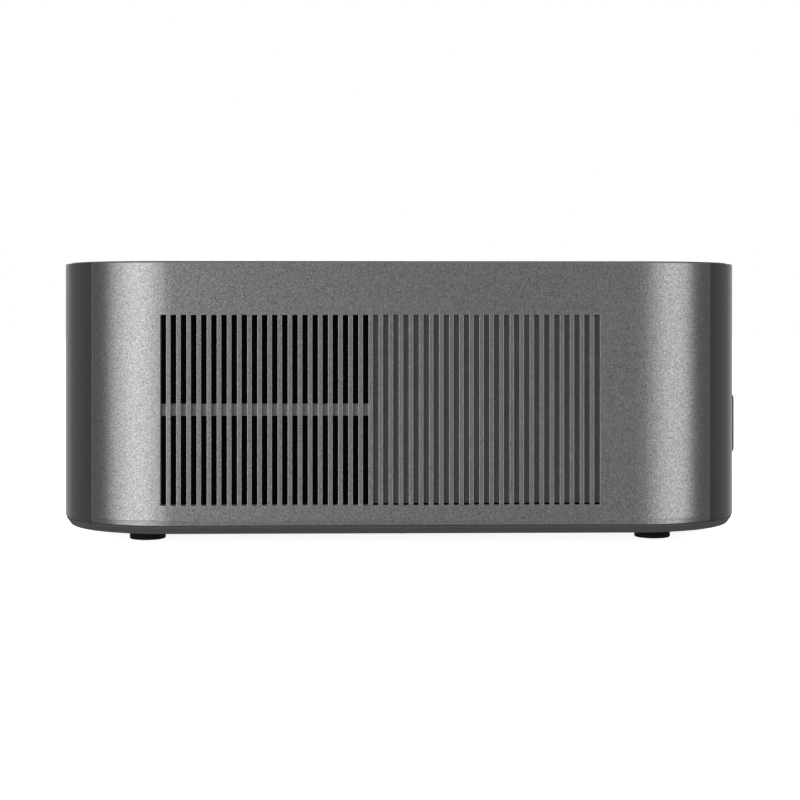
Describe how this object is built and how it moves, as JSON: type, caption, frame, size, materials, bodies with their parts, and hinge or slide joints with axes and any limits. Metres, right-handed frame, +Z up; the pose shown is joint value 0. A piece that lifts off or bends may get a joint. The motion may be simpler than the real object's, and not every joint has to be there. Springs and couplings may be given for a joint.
{
  "type": "ultra-short-throw home projector",
  "caption": "Box-shaped home projector with rounded corners, slotted metal sides, a sliding lens cover in the top, rear sockets and screwed feet.",
  "frame": {"origin": "middle of the housing, on the surface it stands on", "axes": "+Z up, -Y towards the room (loudspeakers), +Y towards the wall (sockets), +X the pictured side"},
  "size_m": [0.5, 0.393, 0.157],
  "materials": {
    "paint": "dark grey metallic paint, fine sand texture",
    "cover": "smooth satin",
    "tray": "satin",
    "black": "matte",
    "window": "gloss",
    "glass": "coated",
    "mirror": "polished",
    "casting": "cast",
    "steel": "plated",
    "wheel": "coated",
    "copper": "bare",
    "nylon": "natural",
    "board": "solder resist",
    "cone": "pressed paper",
    "rubber": "matte"
  },
  "bodies": {
    "housing": {"base_tray": "tray", "right_side_panel": "paint", "left_side_panel": "paint", "front_cover": "cover", "rear_cover": "cover", "speaker_grille": "cover", "ir_window": "window", "io_bezel": "black", "top_plate": "cover", "light_well": "black", "exit_glass": "glass", "cover_motor": "steel", "mirror": "mirror", "mirror_bracket": "casting", "lens_barrel": "black", "focus_motor": "steel", "engine_housing": "casting", "chip_heat_sink": "casting", "wheel_motor": "steel", "laser_bank": "casting", "left_heat_sink": "casting", "upper_heat_pipe": "copper", "lower_heat_pipe": "copper", "main_board": "board", "power_board": "board", "io_board": "board", "ac_inlet": "black", "picture_socket_1": "steel", "picture_socket_2": "steel", "data_socket": "steel", "network_socket": "steel", "right_vent_frame": "tray", "right_vent_screen": "black", "right_cover_rail": "nylon", "right_fan_frame": "black", "right_speaker_box": "black", "right_woofer": "cone", "left_vent_frame": "tray", "left_vent_screen": "black", "left_cover_rail": "nylon", "left_fan_frame": "black", "left_speaker_box": "black", "left_woofer": "cone"},
    "cover": {"lens_cover": "cover", "cover_rack": "nylon"},
    "pinion": {"cover_pinion": "nylon"},
    "focus_ring": {"focus_ring": "black"},
    "focus_gear": {"focus_gear": "nylon"},
    "colour_wheel": {"colour_wheel": "wheel"},
    "right_fan": {"right_fan_rotor": "black"},
    "left_fan": {"left_fan_rotor": "black"},
    "power_button": {"power_button": "cover"},
    "right_front_stem": {"right_front_foot_stem": "steel"},
    "right_front_pad": {"right_front_foot_pad": "rubber"},
    "right_rear_stem": {"right_rear_foot_stem": "steel"},
    "right_rear_pad": {"right_rear_foot_pad": "rubber"},
    "left_front_stem": {"left_front_foot_stem": "steel"},
    "left_front_pad": {"left_front_foot_pad": "rubber"},
    "left_rear_stem": {"left_rear_foot_stem": "steel"},
    "left_rear_pad": {"left_rear_foot_pad": "rubber"}
  },
  "joints": [
    {"name": "cover_slide", "type": "slide", "parent": "housing", "child": "cover", "axis": [0, -1, 0], "range_m": [0, 0.13]},
    {"name": "pinion_turn", "type": "hinge", "parent": "housing", "child": "pinion", "pos_m": [0.097, -0.04, 0.148], "axis": [0, 0, -1], "range_deg": [-10, 760]},
    {"name": "focus_turn", "type": "hinge", "parent": "housing", "child": "focus_ring", "pos_m": [0, 0.051, 0.075], "axis": [0, 1, 0], "range_deg": [-20, 20]},
    {"name": "focus_gear_turn", "type": "hinge", "parent": "housing", "child": "focus_gear", "pos_m": [-0.05, 0.051, 0.075], "axis": [0, 1, 0], "range_deg": [-86, 86]},
    {"name": "wheel_spin", "type": "hinge", "parent": "housing", "child": "colour_wheel", "pos_m": [-0.067, 0.1375, 0.075], "axis": [1, 0, 0], "continuous": true},
    {"name": "right_fan_spin", "type": "hinge", "parent": "housing", "child": "right_fan", "pos_m": [0.225, -0.075, 0.0593], "axis": [1, 0, 0], "continuous": true},
    {"name": "left_fan_spin", "type": "hinge", "parent": "housing", "child": "left_fan", "pos_m": [-0.225, -0.075, 0.0593], "axis": [-1, 0, 0], "continuous": true},
    {"name": "power_press", "type": "slide", "parent": "housing", "child": "power_button", "axis": [0, -1, 0], "range_m": [0, 0.0015], "stiffness_N_per_m": 600, "springref_m": -0.001},
    {"name": "right_front_foot_out", "type": "slide", "parent": "housing", "child": "right_front_stem", "axis": [0, 0, -1], "range_m": [0, 0.012]},
    {"name": "right_front_foot_turn", "type": "hinge", "parent": "right_front_stem", "child": "right_front_pad", "pos_m": [0.206, -0.1445, 0.003], "axis": [0, 0, -1], "range_deg": [-20, 2920]},
    {"name": "right_rear_foot_out", "type": "slide", "parent": "housing", "child": "right_rear_stem", "axis": [0, 0, -1], "range_m": [0, 0.012]},
    {"name": "right_rear_foot_turn", "type": "hinge", "parent": "right_rear_stem", "child": "right_rear_pad", "pos_m": [0.206, 0.1445, 0.003], "axis": [0, 0, -1], "range_deg": [-20, 2920]},
    {"name": "left_front_foot_out", "type": "slide", "parent": "housing", "child": "left_front_stem", "axis": [0, 0, -1], "range_m": [0, 0.012]},
    {"name": "left_front_foot_turn", "type": "hinge", "parent": "left_front_stem", "child": "left_front_pad", "pos_m": [-0.206, -0.1445, 0.003], "axis": [0, 0, -1], "range_deg": [-20, 2920]},
    {"name": "left_rear_foot_out", "type": "slide", "parent": "housing", "child": "left_rear_stem", "axis": [0, 0, -1], "range_m": [0, 0.012]},
    {"name": "left_rear_foot_turn", "type": "hinge", "parent": "left_rear_stem", "child": "left_rear_pad", "pos_m": [-0.206, 0.1445, 0.003], "axis": [0, 0, -1], "range_deg": [-20, 2920]}
  ],
  "couplings": [
    {"joint": "pinion_turn", "follows": "cover_slide", "rad_per_m": 100},
    {"joint": "focus_gear_turn", "follows": "focus_turn", "ratio": -4},
    {"joint": "right_front_foot_turn", "follows": "right_front_foot_out", "rad_per_m": 4188.8},
    {"joint": "right_rear_foot_turn", "follows": "right_rear_foot_out", "rad_per_m": 4188.8},
    {"joint": "left_front_foot_turn", "follows": "left_front_foot_out", "rad_per_m": 4188.8},
    {"joint": "left_rear_foot_turn", "follows": "left_rear_foot_out", "rad_per_m": 4188.8}
  ]
}
